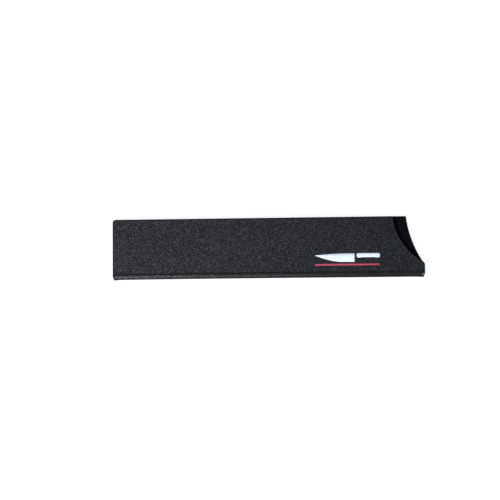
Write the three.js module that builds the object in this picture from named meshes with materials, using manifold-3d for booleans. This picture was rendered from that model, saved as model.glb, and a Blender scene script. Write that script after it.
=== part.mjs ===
// A folded sheath that covers the edge of a 10 inch kitchen knife. One sheet of grained plastic, lined
// with flock on its inner side, is cut to a blank and heat-bent along its middle. The bend is a hollow
// bead that the knife's edge runs in. The two walls lie close together and spring open for the blade.
//
// The sheath lies flat: +X points out of the mouth, +Y from the fold to the open edge, +Z out of the
// front wall. The origin is under its middle. The front wall turns about the middle of the bead.
import * as THREE from "three";
import { mergeVertices } from "three/addons/utils/BufferGeometryUtils.js";
import Module from "manifold-3d";

// Driving dimensions, in millimetres and degrees.
const LENGTH = 263; // closed end to mouth
const DEPTH = 50.8; // outside of the fold to the open edge
const SHEET = 1.4; // thickness of the plastic
const GLUE = 0.05; // glue between the plastic and its lining
const LINING = 0.45; // thickness of the flocked lining
const SLOT = 0.6; // between the two linings, for the blade
const BEAD_RADIUS = 3; // outside of the bead
const NECK_RADIUS = 2.8; // outside of the hollow between the bead and each wall
const OPENING_ANGLE = 12; // how far the front wall springs open
const OPENING_CLEARANCE = 1.5; // angle that is left in the bead past that

// The blank's outline. Distances along X are from the nearer end, and heights are from the fold.
const CORNER_RADIUS = 2.5; // at the closed end of the open edge
const END_INSET = 1.1; // how far the bend draws in the two ends of the bead
const END_INSET_HEIGHT = 4.4;
const END_LEAN = 0.4; // how far the closed end's cut leans in, up to the open edge
const SHOULDER_INSET = 1.3; // where both walls' notches end
const SHOULDER_HEIGHT = 12.6;
const SHOULDER_PEAK_HEIGHT = 11.9; // where the shoulder's curve is aimed
const MOUTH_EDGE_HEIGHT = 10.1; // top of the mouth's short straight edge
const NOTCH_CORNER = 0.7; // rounding where a notch meets the open edge
const FRONT_NOTCH = { reach: 26.5, radius: 49.0 };
const BACK_NOTCH = { reach: 15.1, radius: 88.8 };
const BEAD_STRETCHES = ["fold_bead_front", "fold_bead_edge", "fold_bead_back"];

const PLASTIC = { color: 0x34353a, roughness: 0.55, metalness: 0 };
const FLOCK = { color: 0x0c0f15, roughness: 1, metalness: 0 };

const MARGIN = 2; // how far a cutting body stands past what it cuts
const ARC_DIVISIONS = 8; // each arc is drawn in twice as many steps
const NOTCH_STEPS = 40;

// Worked out from them.
const FOLD_Y = -DEPTH / 2;
const OPEN_Y = DEPTH / 2;
const MOUTH_X = LENGTH / 2;
const BEAD_Y = FOLD_Y + BEAD_RADIUS; // the hinge's line
const MIDDLE_Z = BEAD_RADIUS; // the plane between the two walls
const WALL_RISE = SLOT / 2 + LINING + GLUE + SHEET; // from the middle plane to a wall's outside
const REACH = BEAD_RADIUS + NECK_RADIUS;
const NECK_ANGLE = Math.acos(1 - (BEAD_RADIUS - WALL_RISE) / REACH);
const LINING_DEPTH = SHEET + GLUE; // from the plastic's outside to the lining
const LINING_INSIDE = LINING_DEPTH + LINING; // and to the lining's soft face
const QUARTER = Math.PI / 2;
const NECK_Y = BEAD_Y + REACH * Math.sin(NECK_ANGLE); // where the neck ends and the wall is flat
const NECK_RISE = REACH * Math.cos(NECK_ANGLE); // middle of the neck's hollow, from the middle plane
const BEAD_START = QUARTER + THREE.MathUtils.degToRad(OPENING_ANGLE + OPENING_CLEARANCE);
const BEAD_END = 3 * QUARTER;

const wasm = await Module();
wasm.setup();

function solidFrom(geometry) {
  const bare = new THREE.BufferGeometry();
  const flat = geometry.index ? geometry.toNonIndexed() : geometry;
  bare.setAttribute("position", flat.getAttribute("position"));
  const merged = mergeVertices(bare, 1e-5);
  return new wasm.Manifold(
    new wasm.Mesh({
      numProp: 3,
      vertProperties: merged.attributes.position.array,
      triVerts: new Uint32Array(merged.index.array),
    }),
  );
}

function geometryFrom(solid) {
  const mesh = solid.getMesh();
  const geometry = new THREE.BufferGeometry();
  geometry.setAttribute("position", new THREE.BufferAttribute(mesh.vertProperties, 3));
  geometry.setIndex(new THREE.BufferAttribute(mesh.triVerts, 1));
  geometry.computeVertexNormals();
  return geometry;
}

// A section drawn in (y, z), carried along X past both ends of the sheath.
function alongLength(section) {
  const depth = LENGTH + 2 * MARGIN;
  const geometry = new THREE.ExtrudeGeometry(section, {
    depth,
    bevelEnabled: false,
    curveSegments: ARC_DIVISIONS,
  });
  geometry.translate(0, 0, -depth / 2);
  const [x, y, z] = [
    new THREE.Vector3(1, 0, 0),
    new THREE.Vector3(0, 1, 0),
    new THREE.Vector3(0, 0, 1),
  ];
  return geometry.applyMatrix4(new THREE.Matrix4().makeBasis(y, z, x));
}

// An arc of a section. side is 1 above the middle plane and -1 below it, where it is mirrored.
function mirroredArc(path, side, y, rise, radius, from, to) {
  const z = MIDDLE_Z + side * rise;
  path.absarc(y, z, radius, side * from, side * to, side * (to - from) < 0);
}

// The neck's two arcs from the bead's crown to the flat wall, at one depth below the plastic's outside.
function drawNeckOut(section, side, depth) {
  const [crown, turn] = [BEAD_RADIUS - depth, NECK_RADIUS + depth];
  mirroredArc(section, side, BEAD_Y, 0, crown, QUARTER, QUARTER - NECK_ANGLE);
  mirroredArc(section, side, NECK_Y, NECK_RISE, turn, 3 * QUARTER - NECK_ANGLE, 3 * QUARTER);
}

// The same arcs from the wall back to the crown.
function drawNeckBack(section, side, depth) {
  const [crown, turn] = [BEAD_RADIUS - depth, NECK_RADIUS + depth];
  mirroredArc(section, side, NECK_Y, NECK_RISE, turn, 3 * QUARTER, 3 * QUARTER - NECK_ANGLE);
  mirroredArc(section, side, BEAD_Y, 0, crown, QUARTER - NECK_ANGLE, QUARTER);
}

function neckSection(side, outer, inner) {
  const section = new THREE.Shape();
  drawNeckOut(section, side, outer);
  drawNeckBack(section, side, inner);
  return section;
}

function wallSection(side, outer, inner) {
  const [outerZ, innerZ] = [outer, inner].map((depth) => MIDDLE_Z + side * (WALL_RISE - depth));
  const section = new THREE.Shape();
  section.moveTo(NECK_Y, outerZ);
  section.lineTo(OPEN_Y + MARGIN, outerZ);
  section.lineTo(OPEN_Y + MARGIN, innerZ);
  section.lineTo(NECK_Y, innerZ);
  return section;
}

// A neck and its wall in one, for the lining.
function halfSection(side, outer, inner) {
  const section = new THREE.Shape();
  drawNeckOut(section, side, outer);
  section.lineTo(OPEN_Y + MARGIN, MIDDLE_Z + side * (WALL_RISE - outer));
  section.lineTo(OPEN_Y + MARGIN, MIDDLE_Z + side * (WALL_RISE - inner));
  drawNeckBack(section, side, inner);
  return section;
}

// A stretch of the bead round the fold, between two angles about its middle.
function beadSection(outer, inner, from, to) {
  const section = new THREE.Shape();
  section.absarc(BEAD_Y, MIDDLE_Z, BEAD_RADIUS - outer, from, to, false);
  section.absarc(BEAD_Y, MIDDLE_Z, BEAD_RADIUS - inner, to, from, true);
  return section;
}

// The centre of the circle of that radius which passes through both points, on the mouth's side.
function notchCentre(top, shoulder, radius) {
  const chord = shoulder.clone().sub(top);
  const across = new THREE.Vector2(-chord.y, chord.x).normalize();
  const away = Math.sqrt(radius ** 2 - chord.lengthSq() / 4);
  return top.clone().add(shoulder).multiplyScalar(0.5).addScaledVector(across, away);
}

// One half of the blank, seen from above, with its own notch at the mouth.
function outline(notch) {
  const end = -MOUTH_X;
  const corner = end + END_LEAN + CORNER_RADIUS;
  const shoulder = new THREE.Vector2(MOUTH_X - SHOULDER_INSET, FOLD_Y + SHOULDER_HEIGHT);
  const top = new THREE.Vector2(MOUTH_X - notch.reach, OPEN_Y);
  const centre = notchCentre(top, shoulder, notch.radius);
  const towards = (point) => Math.atan2(point.y - centre.y, point.x - centre.x);
  const turn = 2 * Math.PI;
  const start = towards(top) + (towards(top) < 0 ? turn : 0) + NOTCH_CORNER / notch.radius;
  const finish = towards(shoulder) + turn;

  const shape = new THREE.Shape();
  shape.moveTo(end + END_INSET, FOLD_Y - MARGIN);
  shape.lineTo(end + END_INSET, FOLD_Y);
  shape.lineTo(end, FOLD_Y + END_INSET_HEIGHT);
  shape.lineTo(end + END_LEAN, OPEN_Y - CORNER_RADIUS);
  shape.absarc(corner, OPEN_Y - CORNER_RADIUS, CORNER_RADIUS, Math.PI, QUARTER, true);
  shape.lineTo(top.x - NOTCH_CORNER, OPEN_Y);
  for (let i = 0; i <= NOTCH_STEPS; i++) {
    const angle = THREE.MathUtils.lerp(start, finish, i / NOTCH_STEPS);
    const x = centre.x + notch.radius * Math.cos(angle);
    const y = centre.y + notch.radius * Math.sin(angle);
    if (i === 0) shape.quadraticCurveTo(top.x, top.y, x, y);
    else shape.lineTo(x, y);
  }
  shape.quadraticCurveTo(
    MOUTH_X,
    FOLD_Y + SHOULDER_PEAK_HEIGHT,
    MOUTH_X,
    FOLD_Y + MOUTH_EDGE_HEIGHT,
  );
  shape.lineTo(MOUTH_X, FOLD_Y + END_INSET_HEIGHT);
  shape.lineTo(MOUTH_X - END_INSET, FOLD_Y);
  shape.lineTo(MOUTH_X - END_INSET, FOLD_Y - MARGIN);
  return shape;
}

// A section carried along the length and cut to one half of the blank.
function cutToBlank(section, notch) {
  const height = 2 * (BEAD_RADIUS + MARGIN);
  const cutter = new THREE.ExtrudeGeometry(outline(notch), {
    depth: height,
    bevelEnabled: false,
    curveSegments: ARC_DIVISIONS,
  });
  cutter.translate(0, 0, MIDDLE_Z - height / 2);
  return geometryFrom(solidFrom(alongLength(section)).intersect(solidFrom(cutter)));
}

// One stretch of the plastic sheet or of its lining, with a material of its own.
function piece(name, section, notch, material) {
  const mesh = new THREE.Mesh(cutToBlank(section, notch), new THREE.MeshStandardMaterial(material));
  mesh.name = name;
  return mesh;
}

// The bead is the plastic's tightest bend. Each stretch of it is nearly straight, from front to back.
function beadPieces() {
  const share = (BEAD_END - BEAD_START) / BEAD_STRETCHES.length;
  return BEAD_STRETCHES.map((name, i) => {
    const from = BEAD_START + i * share;
    return piece(name, beadSection(0, SHEET, from, from + share), BACK_NOTCH, PLASTIC);
  });
}

function backHalf() {
  const half = new THREE.Group();
  const foldLining = beadSection(LINING_DEPTH, LINING_INSIDE, BEAD_START, BEAD_END);
  half.add(
    piece("back_wall", wallSection(-1, 0, SHEET), BACK_NOTCH, PLASTIC),
    piece("back_neck", neckSection(-1, 0, SHEET), BACK_NOTCH, PLASTIC),
    ...beadPieces(),
    piece("back_lining", halfSection(-1, LINING_DEPTH, LINING_INSIDE), BACK_NOTCH, FLOCK),
    piece("fold_lining", foldLining, BACK_NOTCH, FLOCK),
  );
  return half;
}

function frontHalf() {
  const half = new THREE.Group();
  half.add(
    piece("front_wall", wallSection(1, 0, SHEET), FRONT_NOTCH, PLASTIC),
    piece("front_neck", neckSection(1, 0, SHEET), FRONT_NOTCH, PLASTIC),
    piece("front_lining", halfSection(1, LINING_DEPTH, LINING_INSIDE), FRONT_NOTCH, FLOCK),
  );
  return half;
}

const sheath = new THREE.Group();
sheath.add(backHalf(), frontHalf());

export default sheath;
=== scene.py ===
"""The looks of a folded, flock-lined guard for a kitchen knife's blade.

The guard is one sheet of grained plastic, bent over a hollow bead, with a lining of flock on its inner
side and a printed mark on its front wall. Each of them is drawn flat, as (along, over): along the
guard's length, and over the fold from the front wall's open edge to the back wall's. It is then folded.
"""

import math

import bpy
import numpy as np
from mathutils import Matrix, Vector

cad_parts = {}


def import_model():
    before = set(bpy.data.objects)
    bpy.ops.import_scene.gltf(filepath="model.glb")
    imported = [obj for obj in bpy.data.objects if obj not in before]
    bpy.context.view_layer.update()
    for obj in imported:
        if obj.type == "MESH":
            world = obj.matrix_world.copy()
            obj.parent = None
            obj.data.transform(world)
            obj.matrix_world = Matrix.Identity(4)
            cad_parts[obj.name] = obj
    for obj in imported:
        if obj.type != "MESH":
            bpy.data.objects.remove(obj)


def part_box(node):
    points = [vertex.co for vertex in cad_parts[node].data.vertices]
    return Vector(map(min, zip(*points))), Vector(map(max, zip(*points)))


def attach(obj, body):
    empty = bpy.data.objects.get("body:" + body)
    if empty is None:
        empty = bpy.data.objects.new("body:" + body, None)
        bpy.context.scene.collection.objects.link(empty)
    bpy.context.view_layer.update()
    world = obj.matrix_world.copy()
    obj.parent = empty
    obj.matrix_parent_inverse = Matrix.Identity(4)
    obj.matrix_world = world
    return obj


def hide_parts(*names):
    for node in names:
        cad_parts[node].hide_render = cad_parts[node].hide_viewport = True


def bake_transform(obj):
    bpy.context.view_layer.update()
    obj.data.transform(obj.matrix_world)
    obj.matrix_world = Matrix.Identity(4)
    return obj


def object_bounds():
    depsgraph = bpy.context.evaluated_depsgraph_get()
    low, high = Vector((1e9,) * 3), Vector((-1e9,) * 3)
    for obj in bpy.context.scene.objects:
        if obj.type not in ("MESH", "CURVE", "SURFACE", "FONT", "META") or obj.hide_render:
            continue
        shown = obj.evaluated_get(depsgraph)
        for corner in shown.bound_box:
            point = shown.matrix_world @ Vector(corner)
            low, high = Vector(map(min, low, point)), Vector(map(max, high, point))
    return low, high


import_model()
cad_low, cad_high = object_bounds()

MM = 0.001

# Sizes that the frame gives.
FOLD_Y, OPEN_Y = cad_low.y, cad_high.y
CLOSED_X, MOUTH_X = cad_low.x, cad_high.x
BEAD_RADIUS = (cad_high.z - cad_low.z) / 2
BEAD_Y = FOLD_Y + BEAD_RADIUS
MIDDLE_Z = cad_low.z + BEAD_RADIUS
WALL_LOW, WALL_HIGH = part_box("front_wall")
SHEET = WALL_HIGH.z - WALL_LOW.z
WALL_RISE = WALL_HIGH.z - MIDDLE_Z
NECK_Y = WALL_LOW.y
LINING_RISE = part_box("front_lining")[0].z - MIDDLE_Z

# Sizes that are the CAD source's own.
GLUE = 0.05 * MM
CORNER_RADIUS = 2.5 * MM
END_INSET = 1.1 * MM
END_INSET_HEIGHT = 4.4 * MM
END_LEAN = 0.4 * MM
SHOULDER = (1.3 * MM, 12.6 * MM)  # from the mouth and from the fold
SHOULDER_PEAK_HEIGHT = 11.9 * MM
MOUTH_EDGE_HEIGHT = 10.1 * MM
NOTCH_CORNER = 0.7 * MM
FRONT_NOTCH = (26.5 * MM, 49.0 * MM)  # reach and radius
BACK_NOTCH = (15.1 * MM, 88.8 * MM)

# The fold's section, worked out from them. The neck is the hollow between the bead and each wall.
_drop = BEAD_RADIUS - WALL_RISE
_shift = NECK_Y - BEAD_Y
NECK_RADIUS = (_shift**2 + _drop**2) / (2 * _drop) - BEAD_RADIUS
NECK_ANGLE = math.asin(_shift / (BEAD_RADIUS + NECK_RADIUS))
NECK_RISE = (BEAD_RADIUS + NECK_RADIUS) * math.cos(NECK_ANGLE)
FLAT = OPEN_Y - NECK_Y
NECK_LENGTH = NECK_RADIUS * NECK_ANGLE
HALF = FLAT + NECK_LENGTH + BEAD_RADIUS * (NECK_ANGLE + math.pi / 2)
WHOLE = 2 * HALF
CURVED = HALF - FLAT  # from the bead's outermost line over it and its neck, to where the wall is flat

BEND_WAVE = 0.05 * MM  # how far the walls wander from flat
CUT_ROUNDING = 0.22 * MM  # on the plastic's cut edges
LINING_TRIM = 0.3 * MM  # the lining stops this short of the plastic's cut edge
LINING_ROUNDING = 0.15 * MM
SEAM = 0.04 * MM  # between the lining's three parts, so that they don't touch
RIM = 1.4 * MM  # the grain is pressed flat this far in from the cut edges, and painted darker there as painted shade
NOTCH_DEPTH = OPEN_Y - FOLD_Y - SHOULDER[1]  # of both notches, down from the open edge
FLARES = (  # how the bead's ends bow out: the end, the most, and over what length
    (CLOSED_X, 0.5 * MM, 50 * MM),
    (CLOSED_X, 0.9 * MM, 1.8 * MM),
    (MOUTH_X, 0.65 * MM, 2.4 * MM),
)
INK = 0.02 * MM  # the film of ink lies this far in the sheet, and stands this far out of it


# ---- The folded sheet ----------------------------------------------------------------------------


def wave(along, over):
    """How far the sheet stands out of its true plane. It is nothing in the bead, which is stiff."""
    a, b = along / MM, over / MM
    ripple = (
        np.sin(a / 17.0 + 0.8)
        + 0.6 * np.sin(a / 9.1 - b / 23.0 + 2.1)
        + 0.5 * np.sin(a / 31.0 + b / 11.0)
    )
    from_fold = np.abs(over - HALF) / CURVED
    return BEND_WAVE / 2 * ripple * np.clip(from_fold - 1, 0, 1) ** 2


def flare(along):
    """How far the bead's fold bows out of line, near its cut ends."""
    return sum(most * np.exp(-np.abs(along - end) / length) for end, most, length in FLARES)


def folded(along, over, depth):
    """Where a point of the flat sheet is once it is folded. depth is measured in from its outside."""
    along, over = np.asarray(along, float), np.asarray(over, float)
    depth = depth - wave(along, over)
    side = np.where(over <= HALF, 1.0, -1.0)
    reach = np.minimum(over, WHOLE - over)
    neck = np.clip((reach - FLAT) / NECK_RADIUS, 0, NECK_ANGLE)
    bead = math.pi / 2 - NECK_ANGLE + (reach - FLAT - NECK_LENGTH) / BEAD_RADIUS
    neck_y = NECK_Y - (NECK_RADIUS + depth) * np.sin(neck)
    neck_rise = NECK_RISE - (NECK_RADIUS + depth) * np.cos(neck)
    bead_y = BEAD_Y + (BEAD_RADIUS - depth) * np.cos(bead)
    bead_rise = (BEAD_RADIUS - depth) * np.sin(bead)
    in_bead = reach > FLAT + NECK_LENGTH
    y = np.where(in_bead, bead_y, neck_y + np.maximum(FLAT - reach, 0))
    y = y - flare(along) * np.clip((NECK_Y - y) / (NECK_Y - BEAD_Y), 0, 1)
    rise = np.where(in_bead, bead_rise, neck_rise)
    return np.stack([along, y, MIDDLE_Z + side * rise], axis=-1)


def arc(centre, radius, start, end, steps):
    angles = np.linspace(start, end, steps + 1)
    return np.stack([centre[0] + radius * np.cos(angles), centre[1] + radius * np.sin(angles)], axis=1)


def bezier(a, b, c, steps):
    t = np.linspace(0, 1, steps + 1)[:, None]
    return (1 - t) ** 2 * np.array(a) + 2 * t * (1 - t) * np.array(b) + t**2 * np.array(c)


def closed_end():
    """The closed end's outline as (x, y), from the fold up to the open edge."""
    corner = (CLOSED_X + END_LEAN + CORNER_RADIUS, OPEN_Y - CORNER_RADIUS)
    inset = [(CLOSED_X + END_INSET, FOLD_Y), (CLOSED_X, FOLD_Y + END_INSET_HEIGHT)]
    return np.vstack([inset, arc(corner, CORNER_RADIUS, math.pi, math.pi / 2, 24)])


def mouth_end(notch):
    """The mouth's outline as (x, y), from the fold up over the shoulder and the notch."""
    reach, radius = notch
    top = np.array((MOUTH_X - reach, OPEN_Y))
    shoulder = np.array((MOUTH_X - SHOULDER[0], FOLD_Y + SHOULDER[1]))
    chord = shoulder - top
    across = np.array((-chord[1], chord[0])) / np.linalg.norm(chord)
    centre = (top + shoulder) / 2 + across * math.sqrt(radius**2 - chord @ chord / 4)
    start = math.atan2(*(shoulder - centre)[::-1]) % (2 * math.pi)
    end = math.atan2(*(top - centre)[::-1]) % (2 * math.pi) + NOTCH_CORNER / radius
    curve = arc(centre, radius, start, end, 60)
    inset = [(MOUTH_X - END_INSET, FOLD_Y), (MOUTH_X, FOLD_Y + END_INSET_HEIGHT)]
    peak = (MOUTH_X, FOLD_Y + SHOULDER_PEAK_HEIGHT)
    rounding = bezier((MOUTH_X, FOLD_Y + MOUTH_EDGE_HEIGHT), peak, shoulder, 12)
    corner = bezier(curve[-1], top, top - (NOTCH_CORNER, 0), 12)
    return np.vstack([inset, rounding, curve, corner])


def limits(over, front, back):
    """Where the outline is at each place over the fold, on one end of the blank."""
    y = folded(np.zeros_like(over), over, 0)[:, 1]
    sides = [np.interp(y, side[:, 1], side[:, 0]) for side in (front, back)]
    return np.where(over <= HALF, *sides)


def spaced(length, pitch, edge_steps):
    """Places from 0 to length, a pitch apart, and closer at both ends, where the steps in mm say."""
    edge = np.array(edge_steps) * MM
    middle = np.linspace(edge[-1], length - edge[-1], round((length - 2 * edge[-1]) / pitch) + 1)
    return np.concatenate([edge[:-1], middle, length - edge[-2::-1]])


GRID_PITCH, BEND_PITCH = 1.3 * MM, 0.3 * MM
OPEN_EDGE_STEPS = (0, 0.02, 0.08, 0.18, 0.32, 0.5, 0.75, 1.1, 1.6, 2.2, 3.0)  # in mm, and so are the next
END_STEPS = (0, 0.3, 0.8, 1.6)
BEND_MARGIN = 0.5 * MM  # the closer pitch goes on this far into each wall


def blank_grid(pitch, bend_pitch):
    """The flat blank as a grid of (along, over), with a closer pitch where it is bent."""
    bend = 2 * CURVED + 2 * BEND_MARGIN
    wall = (WHOLE - bend) / 2
    over = spaced(WHOLE, pitch, OPEN_EDGE_STEPS)
    over = over[(over < wall) | (over > WHOLE - wall)]
    over = np.sort(np.concatenate([over, np.linspace(wall, WHOLE - wall, round(bend / bend_pitch) + 1)]))
    share = spaced(MOUTH_X - CLOSED_X, pitch, END_STEPS) / (MOUTH_X - CLOSED_X)
    left = limits(over, closed_end(), closed_end())
    right = limits(over, mouth_end(FRONT_NOTCH), mouth_end(BACK_NOTCH))
    along = left[:, None] + (right - left)[:, None] * share
    return np.stack([along, np.broadcast_to(over[:, None], along.shape)], axis=-1)


def border_of(rows, columns):
    """Indices of a grid's border vertices, once round it."""
    index = np.arange(rows * columns).reshape(rows, columns)
    return np.concatenate([index[0], index[1:, -1], index[-1, -2::-1], index[-2:0:-1, 0]])


def outward(points):
    """The outward direction at each point of a closed outline that runs anticlockwise."""
    tangent = np.roll(points, -1, axis=0) - np.roll(points, 1, axis=0)
    normal = np.stack([tangent[:, 1], -tangent[:, 0]], axis=1)
    return normal / np.linalg.norm(normal, axis=1)[:, None]


def drawn_in(grid, border, distance):
    """The grid with its border moved in by distance, and the rest eased to follow it."""
    rows, columns = grid.shape[:2]
    flat = grid.reshape(-1, 2)
    shift = np.zeros_like(flat)
    shift[border] = -distance * outward(flat[border])
    shift = shift.reshape(grid.shape)
    u = np.linspace(0, 1, columns)[None, :, None]
    v = np.linspace(0, 1, rows)[:, None, None]
    sides = (1 - u) * shift[:, :1] + u * shift[:, -1:]
    ends = (1 - v) * shift[:1] + v * shift[-1:]
    corners = (1 - v) * ((1 - u) * shift[:1, :1] + u * shift[:1, -1:])
    corners = corners + v * ((1 - u) * shift[-1:, :1] + u * shift[-1:, -1:])
    return grid + sides + ends - corners


def lining_parts(grid):
    """The lining's grid in three, for the front wall, the fold and the back wall.

    They meet in the bead, on the two lines that are level with its middle. The walls' linings lie nearer to
    each other than the bend is wide, so in one piece with them the fold's lining couldn't bend that widely.
    """
    over = grid[:, grid.shape[1] // 2, 1]
    quarter = BEAD_RADIUS * math.pi / 2
    front, back = (int(np.argmin(np.abs(over - place))) for place in (HALF - quarter, HALF + quarter))
    parts = [part.copy() for part in (grid[: front + 1], grid[front : back + 1], grid[back:])]
    for before, after in zip(parts, parts[1:]):
        before[-1, :, 1] -= SEAM / 2
        after[0, :, 1] += SEAM / 2
    return parts


def distance_from(places, line, used):
    """How far each place is from a closed line, of which only the used stretches count."""
    nearest = np.full(len(places), np.inf)
    for start, end in zip(line[used], np.roll(line, -1, axis=0)[used]):
        step = end - start
        share = np.clip((places - start) @ step / (step @ step), 0, 1)
        nearest = np.minimum(nearest, np.linalg.norm(places - start - share[:, None] * step, axis=1))
    return nearest


def in_notch(place):
    """True where a place on the blank's border is on either notch."""
    reach = np.minimum(place[:, 1], WHOLE - place[:, 1])
    return (place[:, 0] > 0) & (reach < NOTCH_DEPTH) & (reach > NOTCH_CORNER)


def mesh_object(name, points, faces, flat_place, **attributes):
    """A smooth mesh object, with the flat sheet's own coordinates as its UV map, in metres."""
    mesh = bpy.data.meshes.new(name)
    mesh.from_pydata(points.tolist(), [], faces)
    mesh.polygons.foreach_set("use_smooth", [True] * len(mesh.polygons))
    corner_vertices = np.zeros(len(mesh.loops), int)
    mesh.loops.foreach_get("vertex_index", corner_vertices)
    layer = mesh.uv_layers.new(name="sheet")
    layer.data.foreach_set("uv", flat_place[corner_vertices].astype(np.float32).ravel())
    for key, values in attributes.items():
        attribute = mesh.attributes.new(key, "FLOAT", "POINT")
        attribute.data.foreach_set("value", values.astype(np.float32))
    mesh.update()
    obj = bpy.data.objects.new(name, mesh)
    bpy.context.scene.collection.objects.link(obj)
    return obj


ROUNDING_STEPS = 4


def folded_layer(name, grid, outside, inside, rounding):
    """A closed layer of the sheet between two depths, with its border rounded on both faces.

    Its attributes are cut, 1 on the border's middle, rim, 1 beside the border and 0 at RIM from it, and
    notch, 1 on the notches' part of the border.
    """
    rows, columns = grid.shape[:2]
    border = border_of(rows, columns)
    edge = grid.reshape(-1, 2)[border]
    direction = outward(edge)
    face = drawn_in(grid, border, rounding).reshape(-1, 2)
    turns = np.linspace(0, math.pi / 2, ROUNDING_STEPS + 1)
    profile = [(rounding * math.sin(t), outside + rounding * (1 - math.cos(t))) for t in turns]
    profile += [(rounding, (outside + inside) / 2)]
    profile += [(out, outside + inside - depth) for out, depth in profile[ROUNDING_STEPS::-1]]

    notched = in_notch(edge)
    pressed_and_shaded = np.clip(1 - distance_from(face, edge, ~notched) / RIM, 0, 1)
    flat_place, depths = [face, face], [np.full(len(face), outside), np.full(len(face), inside)]
    cut, rim_share, notch = [np.zeros(2 * len(face))], [pressed_and_shaded, pressed_and_shaded], [np.zeros(2 * len(face))]
    base = face[border]
    for out, depth in profile[1:-1]:
        flat_place.append(base + out * direction)
        depths.append(np.full(len(border), depth))
        cut.append(np.full(len(border), out / rounding))
        rim_share.append(pressed_and_shaded[border])
        notch.append(notched.astype(float))
    flat_place, depths, cut, rim_share, notch = (
        np.concatenate(parts) for parts in (flat_place, depths, cut, rim_share, notch)
    )
    points = folded(flat_place[:, 0], flat_place[:, 1], depths)

    index = np.arange(rows * columns).reshape(rows, columns)
    quads = np.stack([index[:-1, :-1], index[1:, :-1], index[1:, 1:], index[:-1, 1:]], axis=-1)
    outer = quads.reshape(-1, 4)
    inner = outer[:, ::-1] + rows * columns
    rings = [border]
    rings += [2 * rows * columns + k * len(border) + np.arange(len(border)) for k in range(len(profile) - 2)]
    rings += [border + rows * columns]
    rim = []
    for near, far in zip(rings, rings[1:]):
        rim.append(np.stack([near, np.roll(near, -1), np.roll(far, -1), far], axis=1))
    faces = np.concatenate([outer, inner, *rim]).tolist()

    # The pattern runs on over the border by as much as the border is deep.
    ring_direction = np.concatenate([np.zeros((2 * len(face), 2)), *[direction] * (len(profile) - 2)])
    pattern_place = flat_place + ring_direction * (depths - outside)[:, None]
    return mesh_object(name, points, faces, pattern_place, cut=cut, rim=rim_share, notch=notch)


# ---- The printed mark ----------------------------------------------------------------------------


MARK_LEFT, MARK_RIGHT = 40.2 * MM, 94.3 * MM
MARK_LOW = -12.3 * MM
BLADE_LENGTH = 33.0 * MM
BLADE_HEIGHT = 7.2 * MM
TIP_DROP = 1.6 * MM  # from the spine's line
TIP_HEIGHT = 0.2 * MM
EDGE_SPEED = 1.4  # the blade's edge curves over the first 1 / 1.4 of its length, from the tip
SPINE_POWER = 2.2  # by which the spine drops to the tip
HANDLE_GAP = 1.6 * MM
HANDLE_HEIGHT = 3.8 * MM
HANDLE_ROUND = 0.06  # of its length, at each end
HANDLE_BLUNT = 0.04  # the square of its ends' height, as a share of the most
HANDLE_HOLLOW = 0.18  # of its lower half's height
BAR_TOP, BAR_BOTTOM = -13.8 * MM, -15.3 * MM
PRINT_STEPS, PRINT_ROWS = 40, 3


def ink_strip(name, along, low, high):
    """A film of ink on the front wall, between two heights at each place along it."""
    share = np.linspace(0, 1, PRINT_ROWS + 1)[:, None]
    height = low + (high - low) * share
    over = OPEN_Y - height
    place = np.stack([np.broadcast_to(along, over.shape), over], axis=-1).reshape(-1, 2)
    columns = len(along)
    index = np.arange(len(place)).reshape(PRINT_ROWS + 1, columns)
    quads = np.stack([index[:-1, :-1], index[:-1, 1:], index[1:, 1:], index[1:, :-1]], axis=-1)
    top = quads.reshape(-1, 4)
    bottom = top[:, ::-1] + len(place)
    border = border_of(PRINT_ROWS + 1, columns)
    onward = np.roll(border, -1)
    rim = np.stack([border + len(place), onward + len(place), onward, border], axis=1)
    faces = np.concatenate([top, bottom, rim]).tolist()
    both = np.concatenate([place, place])
    depths = np.repeat([-INK, INK], len(place))
    return mesh_object(name, folded(both[:, 0], both[:, 1], depths), faces, both)


def print_strip(name, left, right, low, high):
    """low and high are heights, as functions of the share of the way from left to right."""
    share = np.linspace(0, 1, PRINT_STEPS + 1)
    return ink_strip(name, left + (right - left) * share, low(share), high(share))


def picture_blade(heel):
    spine = MARK_LOW + BLADE_HEIGHT
    tip = spine - TIP_DROP - TIP_HEIGHT

    def edge(share):
        return tip - (tip - MARK_LOW) * np.sin(np.pi / 2 * np.minimum(share * EDGE_SPEED, 1))

    def back(share):
        return spine - TIP_DROP * (1 - share) ** SPINE_POWER

    return print_strip("print_blade", MARK_LEFT, heel, edge, back)


def picture_handle(left):
    middle = MARK_LOW + BLADE_HEIGHT - HANDLE_HEIGHT / 2

    def fullness(share):
        """Half the handle's height, with its ends rounded."""
        from_end = np.clip(np.minimum(share, 1 - share) / HANDLE_ROUND, 0, 1)
        return (HANDLE_HEIGHT / 2) * np.sqrt(np.clip(1 - (1 - from_end) ** 2, HANDLE_BLUNT, 1))

    def low(share):
        return middle - fullness(share) * (1 - HANDLE_HOLLOW * np.sin(np.pi * share))

    def high(share):
        return middle + fullness(share)

    return print_strip("print_handle", left, MARK_RIGHT, low, high)


def printed_bar():
    return print_strip(
        "print_bar",
        MARK_LEFT,
        MARK_RIGHT,
        lambda share: np.full_like(share, BAR_BOTTOM),
        lambda share: np.full_like(share, BAR_TOP),
    )


def printed_mark():
    """A plain picture of a kitchen knife over a plain bar, as the white pieces and the red ones."""
    heel = MARK_LEFT + BLADE_LENGTH
    return [picture_blade(heel), picture_handle(heel + HANDLE_GAP)], [printed_bar()]


# ---- Materials -----------------------------------------------------------------------------------


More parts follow.
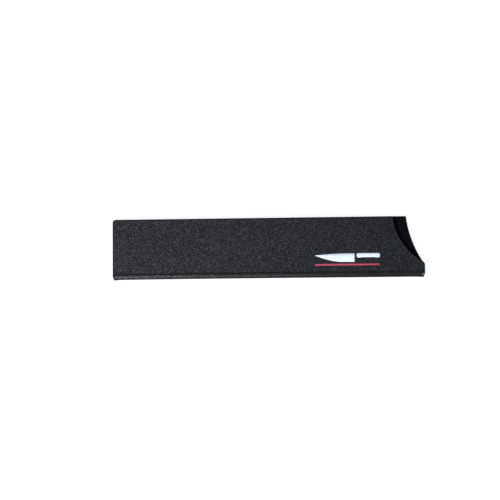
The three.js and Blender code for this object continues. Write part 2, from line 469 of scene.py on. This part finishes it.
class Nodes:
    """A material's node tree, built by short calls.

    An input that is given as a number is set, and one that is given as a node's output is linked.
    """

    def __init__(self, name):
        self.material = bpy.data.materials.new(name)
        self.material.use_nodes = True
        self.tree = self.material.node_tree
        self.tree.nodes.clear()

    def add(self, kind, inputs=(), **settings):
        node = self.tree.nodes.new("ShaderNode" + kind)
        for key, value in settings.items():
            setattr(node, key, value)
        for socket, value in dict(inputs).items():
            if isinstance(value, bpy.types.NodeSocket):
                self.tree.links.new(value, node.inputs[socket])
            else:
                node.inputs[socket].default_value = value
        return node

    def attribute(self, name):
        return self.add("Attribute", attribute_name=name).outputs["Fac"]

    def math(self, operation, a, b=0.0, c=0.0):
        return self.add("Math", {0: a, 1: b, 2: c}, operation=operation).outputs[0]

    def blend(self, share, a, b):
        """The number a where share is 0, and the number b where it is 1."""
        return self.math("MULTIPLY_ADD", self.math("SUBTRACT", b, a), share, a)

    def noise(self, place, size, detail, roughness=0.5):
        """Noise with features of that size in metres, from 0 to 1."""
        inputs = {"Vector": place, "Scale": 1 / size, "Detail": detail, "Roughness": roughness}
        return self.add("TexNoise", inputs, noise_dimensions="2D").outputs["Fac"]

    def ramp(self, value, low, high, out_low=0.0, out_high=1.0, smooth=True):
        kind = "SMOOTHSTEP" if smooth else "LINEAR"
        inputs = {0: value, 1: low, 2: high, 3: out_low, 4: out_high}
        return self.add("MapRange", inputs, interpolation_type=kind).outputs[0]

    def mix(self, share, a, b):
        node = self.add("Mix", {"Factor": share}, data_type="RGBA")
        for socket, value in zip((6, 7), (a, b)):
            if isinstance(value, bpy.types.NodeSocket):
                self.tree.links.new(value, node.inputs[socket])
            else:
                node.inputs[socket].default_value = (*value, 1)
        return node.outputs[2]

    def surface(self, **inputs):
        shader = self.add("BsdfPrincipled")
        for key, value in inputs.items():
            socket = shader.inputs[key.replace("_", " ").title().replace("Ior", "IOR")]
            if isinstance(value, bpy.types.NodeSocket):
                self.tree.links.new(value, socket)
            else:
                socket.default_value = value
        output = self.add("OutputMaterial")
        self.tree.links.new(shader.outputs[0], output.inputs[0])
        return self.material


GRIT = 0.49 * MM  # across one grit of the grain
LEAST_GRIT = 0.25  # the lowest grit's height, as a share of the highest's
GRIT_HEIGHT = 0.11 * MM

# Where the plastic's look changes, as distances over the fold from the bead's outermost line. A pair is where
# the change starts and where it is complete.
CROWN = (2.4 * MM, 3.6 * MM)  # the grain is pressed flat, and painted darker as painted shade, on the near side of it
BEAD = (4.2 * MM, 5.8 * MM)  # the bead's tone gives way to the wall's
BEAD_GLOSS = (CURVED - 2.5 * MM, CURVED + 0.5 * MM)  # and its gloss
BEAD_HIGHLIGHT_SIDE = (1.8 * MM, 3.6 * MM)  # the painted highlight is fainter on the near side of it
MOUTH_HIGHLIGHT_LINE = 4.1 * MM  # where the painted highlight at the mouth is brightest
MOUTH_HIGHLIGHT_WIDTH = (0.4 * MM, 1.3 * MM)  # to each side of that

# The same, along the guard.
BEAD_HIGHLIGHT_END = 60 * MM  # the painted highlight is brightest at the closed end, nearest the key light, and faintest from here on
MOUTH_HIGHLIGHT_START = (MOUTH_X - 3.4 * MM, MOUTH_X - 1.8 * MM)

# The hollows' near-black tone is painted shade in the grain's hollows, and the grits' greyer tone is partly
# painted light on their tops.
HOLLOW_SHADE_TONES = (0.0015, 0.0018, 0.0026), (0.0018, 0.0019, 0.0025)
GRIT_TONES = (0.030, 0.035, 0.043), (0.035, 0.036, 0.043)
BEAD_TONE = (0.0015, 0.0015, 0.0018)
# Painted shade: the dark tone laid along the cut edges and on the bead's outer side, where they turn from the
# light.
EDGE_AND_CROWN_SHADE_TONE = (0.002, 0.0024, 0.003)
# Painted highlight: a pale tone on the bead's grits, standing in for the key light's highlight on the bead.
BEAD_HIGHLIGHT_TONE = (0.085, 0.078, 0.068)
# Painted highlight at the bead's end, by the mouth.
MOUTH_HIGHLIGHT_TONE = (0.1, 0.1, 0.1)
# Painted highlight: the notch tone is a pale tone on the notches' cut edges, as if their rounding caught the
# light. CUT_TONE is the raw plastic's own.
CUT_TONE, NOTCH_HIGHLIGHT_TONE = (0.004, 0.0045, 0.0055), (0.045, 0.047, 0.052)


def grain(nodes, place):
    """The sand grain that the plastic's outside is rolled with: rounded grits, each with its own height.

    It gives a number of each grit's own, from 0 to 1, and the grain's height.
    """
    inputs = {"Vector": place, "Scale": 1 / GRIT, "Randomness": 1.0}
    cells = nodes.add("TexVoronoi", inputs, voronoi_dimensions="2D", feature="F1")
    own = nodes.add("SeparateColor", {0: cells.outputs["Color"]}).outputs[0]
    dome = nodes.ramp(cells.outputs["Distance"], 0.1, 0.72, 1, 0)
    height = nodes.math("MULTIPLY", dome, nodes.math("MULTIPLY_ADD", own, 1 - LEAST_GRIT, LEAST_GRIT))
    fine = nodes.noise(place, 0.3 * MM, 2, 0.6)
    return own, nodes.math("MULTIPLY_ADD", fine, 0.22, height)


def wall_tone(nodes, place, own, height):
    """Near black in the hollows and greyer on the higher grits, with faint blotches. The grits' tone differs
    at random; the dark hollows and greyer tops are painted shade and light.
    """
    speck_and_grain_shade = nodes.math("MULTIPLY", nodes.ramp(own, 0.5, 1.0), nodes.ramp(height, 0.1, 0.7, 0.1, 1))
    blotch = nodes.ramp(nodes.noise(place, 30 * MM, 2), 0.35, 0.65)
    return nodes.mix(speck_and_grain_shade, nodes.mix(blotch, *HOLLOW_SHADE_TONES), nodes.mix(blotch, *GRIT_TONES))


def painted_bead_highlight(nodes, along, from_fold, own):
    """How much painted highlight the bead takes, strongest at the closed end, like the key light's highlight.
    Each grit takes it differently.
    """
    most = nodes.ramp(along, CLOSED_X, BEAD_HIGHLIGHT_END, 1.2, 0.1, smooth=False)
    most = nodes.math("MULTIPLY", most, nodes.ramp(from_fold, *BEAD_HIGHLIGHT_SIDE, 0.4, 1))
    return nodes.math("MULTIPLY", nodes.ramp(own, 0.6, 1.0), most)


def mouth_highlight(nodes, along, from_fold):
    """A painted highlight: a pale short line beside the bead, at the mouth, where the bead's end catches the
    light.
    """
    from_line = nodes.math("ABSOLUTE", nodes.math("SUBTRACT", from_fold, MOUTH_HIGHLIGHT_LINE))
    near_line = nodes.ramp(from_line, *MOUTH_HIGHLIGHT_WIDTH, 1, 0)
    return nodes.math("MULTIPLY", nodes.ramp(along, *MOUTH_HIGHLIGHT_START), near_line)


def grained_plastic():
    nodes = Nodes("grained_plastic")
    place = nodes.add("UVMap", uv_map="sheet").outputs[0]
    cut, rim, notch = (nodes.attribute(key) for key in ("cut", "rim", "notch"))
    along, over = nodes.add("SeparateXYZ", {0: place}).outputs[:2]
    from_fold = nodes.math("ABSOLUTE", nodes.math("SUBTRACT", over, HALF))
    own, height = grain(nodes, place)
    # Painted shade along the cut edges and on the bead's outer side; the same mask makes the pressed grain
    # rough.
    pressed_and_shaded = nodes.math("MAXIMUM", nodes.ramp(rim, 0.1, 0.45), nodes.ramp(from_fold, *CROWN, 1, 0))
    pressed_and_shaded = nodes.math("MULTIPLY", pressed_and_shaded, 0.9)

    tone = wall_tone(nodes, place, own, height)
    on_bead = nodes.ramp(from_fold, *BEAD, 1, 0)
    tone = nodes.mix(on_bead, tone, BEAD_TONE)
    tone = nodes.mix(pressed_and_shaded, tone, EDGE_AND_CROWN_SHADE_TONE)
    # Painted highlight on the bead, strongest toward the closed end.
    bead_highlight = nodes.math("MULTIPLY", painted_bead_highlight(nodes, along, from_fold, own), on_bead)
    tone = nodes.mix(bead_highlight, tone, BEAD_HIGHLIGHT_TONE)
    # Painted highlight on a short line beside the bead, at the mouth.
    tone = nodes.mix(mouth_highlight(nodes, along, from_fold), tone, MOUTH_HIGHLIGHT_TONE)
    # Dark raw plastic on the cut edges, and a painted highlight on the notches' cut edges.
    cut_tone_and_notch_highlight = nodes.mix(notch, CUT_TONE, NOTCH_HIGHLIGHT_TONE)
    tone = nodes.mix(nodes.math("MULTIPLY", cut, 0.85), tone, cut_tone_and_notch_highlight)

    # The higher a grit's own number, the glossier it is.
    in_bead = nodes.ramp(from_fold, *BEAD_GLOSS, 1, 0)
    rough = nodes.ramp(own, 0.52, 1.0, 0.86, 0.29, smooth=False)
    bead_rough = nodes.ramp(own, 0.4, 1.0, 0.62, 0.33)
    rough = nodes.blend(nodes.math("MULTIPLY", in_bead, 0.9), rough, bead_rough)
    rough = nodes.blend(pressed_and_shaded, rough, 0.95)

    strength = nodes.ramp(in_bead, 0, 1, 1, 0.8)
    strength = nodes.math("MULTIPLY", strength, nodes.ramp(cut, 0, 1, 1, 0.3))
    bump = nodes.add("Bump", {"Height": height, "Strength": strength, "Distance": GRIT_HEIGHT}).outputs[0]
    return nodes.surface(base_color=tone, roughness=rough, normal=bump, specular_ior_level=0.26)


def flock():
    nodes = Nodes("flock")
    place = nodes.add("UVMap", uv_map="sheet").outputs[0]
    tufts = nodes.noise(place, 0.5 * MM, 3, 0.65)
    nap = nodes.noise(place, 7 * MM, 2)
    tone = nodes.mix(nodes.ramp(tufts, 0.42, 0.62), (0.0006, 0.0009, 0.0015), (0.0030, 0.0039, 0.0061))
    tone = nodes.mix(nodes.ramp(nap, 0.35, 0.65, 0, 0.5), tone, (0.0016, 0.0021, 0.0035))
    bump = nodes.add("Bump", {"Height": tufts, "Strength": 0.8, "Distance": 0.15 * MM}).outputs[0]
    return nodes.surface(
        base_color=tone,
        roughness=nodes.ramp(tufts, 0.3, 0.7, 0.9, 1),
        normal=bump,
        specular_ior_level=0.06,
        sheen_weight=0.03,
        sheen_roughness=0.4,
        sheen_tint=(0.55, 0.68, 1.0, 1.0),
    )


def ink(name, colour, worn):
    """Screen-printed ink. It follows the grain below it and is thin in the hollows."""
    nodes = Nodes(name)
    place = nodes.add("UVMap", uv_map="sheet").outputs[0]
    own, grits = grain(nodes, place)
    cover = nodes.ramp(grits, 0.02, 0.3)
    cloud = nodes.noise(place, 4 * MM, 2)
    tone = nodes.mix(nodes.ramp(cloud, 0.3, 0.7), colour, [0.9 * c for c in colour])
    tone = nodes.mix(cover, worn, tone)
    bump = nodes.add("Bump", {"Height": grits, "Strength": 0.6, "Distance": 0.12 * MM}).outputs[0]
    rough = nodes.ramp(own, 0, 1, 0.55, 0.42)
    return nodes.surface(base_color=tone, roughness=rough, normal=bump, specular_ior_level=0.4)


PAPER_GLOW = 0.92


def paper():
    """The studio's plain white paper. It glows, so that the guard throws next to no shadow."""
    nodes = Nodes("paper")
    place = nodes.add("TexCoord").outputs["Object"]
    fibre = nodes.noise(place, 3 * MM, 3)
    tone = nodes.mix(fibre, (0.105, 0.105, 0.105), (0.115, 0.115, 0.115))
    return nodes.surface(
        base_color=tone,
        roughness=0.8,
        specular_ior_level=0.2,
        emission_color=(1.0, 1.0, 1.0, 1.0),
        emission_strength=PAPER_GLOW,
    )


# ---- The object ----------------------------------------------------------------------------------

blank = blank_grid(GRID_PITCH, BEND_PITCH)
sheet = folded_layer("folded_sheet", blank, 0, SHEET, CUT_ROUNDING)
sheet.data.materials.append(grained_plastic())
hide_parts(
    "back_wall",
    "back_neck",
    "fold_bead_back",
    "fold_bead_edge",
    "fold_bead_front",
    "front_neck",
    "front_wall",
)

trimmed = drawn_in(blank, border_of(*blank.shape[:2]), LINING_TRIM)
flock_material = flock()
lining = {}
for node, part in zip(("front_lining", "fold_lining", "back_lining"), lining_parts(trimmed)):
    piece = folded_layer("flock_" + node, part, SHEET + GLUE, WALL_RISE - LINING_RISE, LINING_ROUNDING)
    piece.data.materials.append(flock_material)
    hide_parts(node)
    lining[node] = piece
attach(lining["front_lining"], "front")
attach(lining["back_lining"], "back")

# The sheet and the fold's lining bend between the walls' inner faces, in the outermost part of the bead.
for piece in (sheet, lining["fold_lining"]):
    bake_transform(piece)

white_pieces, red_pieces = printed_mark()
white_ink = ink("white_ink", (0.72, 0.77, 0.84), (0.35, 0.38, 0.43))
red_ink = ink("red_ink", (0.44, 0.045, 0.07), (0.12, 0.03, 0.035))
for pieces, material, slot in ((white_pieces, white_ink, "white_ink"), (red_pieces, red_ink, "red_ink")):
    for piece in pieces:
        piece.data.materials.append(material)
        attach(piece, "front")


# ---- Studio --------------------------------------------------------------------------------------

COVE_REACH, COVE_BEND, COVE_HEIGHT = 1.8, 0.6, 1.1
COVE_SIDES = 64
COVE_TURNS = range(0, 91, 10)  # in degrees, up the bend


def area_light(name, place, target, size, power, colour):
    light = bpy.data.lights.new(name, "AREA")
    light.shape = "RECTANGLE"
    light.size, light.size_y = size
    light.energy = power
    light.color = colour
    obj = bpy.data.objects.new(name, light)
    obj.location = place
    obj.rotation_euler = (Vector(target) - Vector(place)).to_track_quat("-Z", "Y").to_euler()
    bpy.context.scene.collection.objects.link(obj)


def cove():
    """White paper under the guard, which curves up to a low wall all round, well clear of it.

    It is tilted to touch the bead and the back wall's open edge, which the guard rests on. It is left out
    of reflections, because its own bright light would outline the bead.
    """
    bend = [math.radians(turn) for turn in COVE_TURNS]
    profile = [(0.0, 0.0)]
    profile += [(COVE_REACH + COVE_BEND * math.sin(t), COVE_BEND * (1 - math.cos(t))) for t in bend]
    profile += [(COVE_REACH + COVE_BEND, COVE_HEIGHT)]
    around = np.linspace(0, 2 * math.pi, COVE_SIDES, endpoint=False)
    points = [(reach * math.cos(t), reach * math.sin(t), height) for reach, height in profile for t in around]
    index = np.arange(len(points)).reshape(len(profile), COVE_SIDES)
    onward = np.roll(index, -1, axis=1)
    faces = np.stack([index[:-1], index[1:], onward[1:], onward[:-1]], axis=-1).reshape(-1, 4).tolist()
    mesh = bpy.data.meshes.new("cove")
    mesh.from_pydata(points, [], faces)
    mesh.polygons.foreach_set("use_smooth", [True] * len(mesh.polygons))
    mesh.materials.append(paper())
    obj = bpy.data.objects.new("cove", mesh)
    obj.location = (0, BEAD_Y, cad_low.z)
    obj.rotation_euler = (math.atan2(BEAD_RADIUS - WALL_RISE, OPEN_Y - BEAD_Y), 0, 0)
    obj.visible_glossy = False
    bpy.context.scene.collection.objects.link(obj)


def world(colour, strength):
    made = bpy.data.worlds.new("studio")
    made.use_nodes = True
    background = made.node_tree.nodes["Background"]
    background.inputs[0].default_value = (*colour, 1)
    background.inputs[1].default_value = strength
    bpy.context.scene.world = made


CAMERA_DISTANCE = 0.8
VIEW_WIDTH = 0.4209  # of what the camera sees across AIM
AIM = (-0.01445, -0.0015, WALL_HIGH.z)
YAW, ROLL = math.radians(3.35), math.radians(0.66)


def camera():
    """It looks down on the front wall, from a little to the mouth's side."""
    data = bpy.data.cameras.new("camera")
    data.sensor_width = 36
    data.lens = data.sensor_width * CAMERA_DISTANCE / VIEW_WIDTH
    obj = bpy.data.objects.new("camera", data)
    turn = Matrix.Rotation(YAW, 3, "Y") @ Matrix.Rotation(-ROLL, 3, "Z")
    obj.location = Vector(AIM) + CAMERA_DISTANCE * turn.col[2]
    obj.rotation_euler = turn.to_euler()
    bpy.context.scene.collection.objects.link(obj)
    bpy.context.scene.camera = obj


cove()
world(colour=(0.90, 0.95, 1.0), strength=0.06)
area_light(
    "key",
    place=(-0.45, -0.39, 0.58),
    target=(-0.05, 0, 0),
    size=(0.4, 0.3),
    power=13.7,
    colour=(0.96, 0.95, 1.0),
)
area_light(
    "fill",
    place=(0.45, 0.3, 0.85),
    target=(0, 0, 0),
    size=(0.6, 0.6),
    power=2.3,
    colour=(0.25, 0.80, 1.0),
)
camera()
bpy.context.scene.view_settings.view_transform = "Standard"
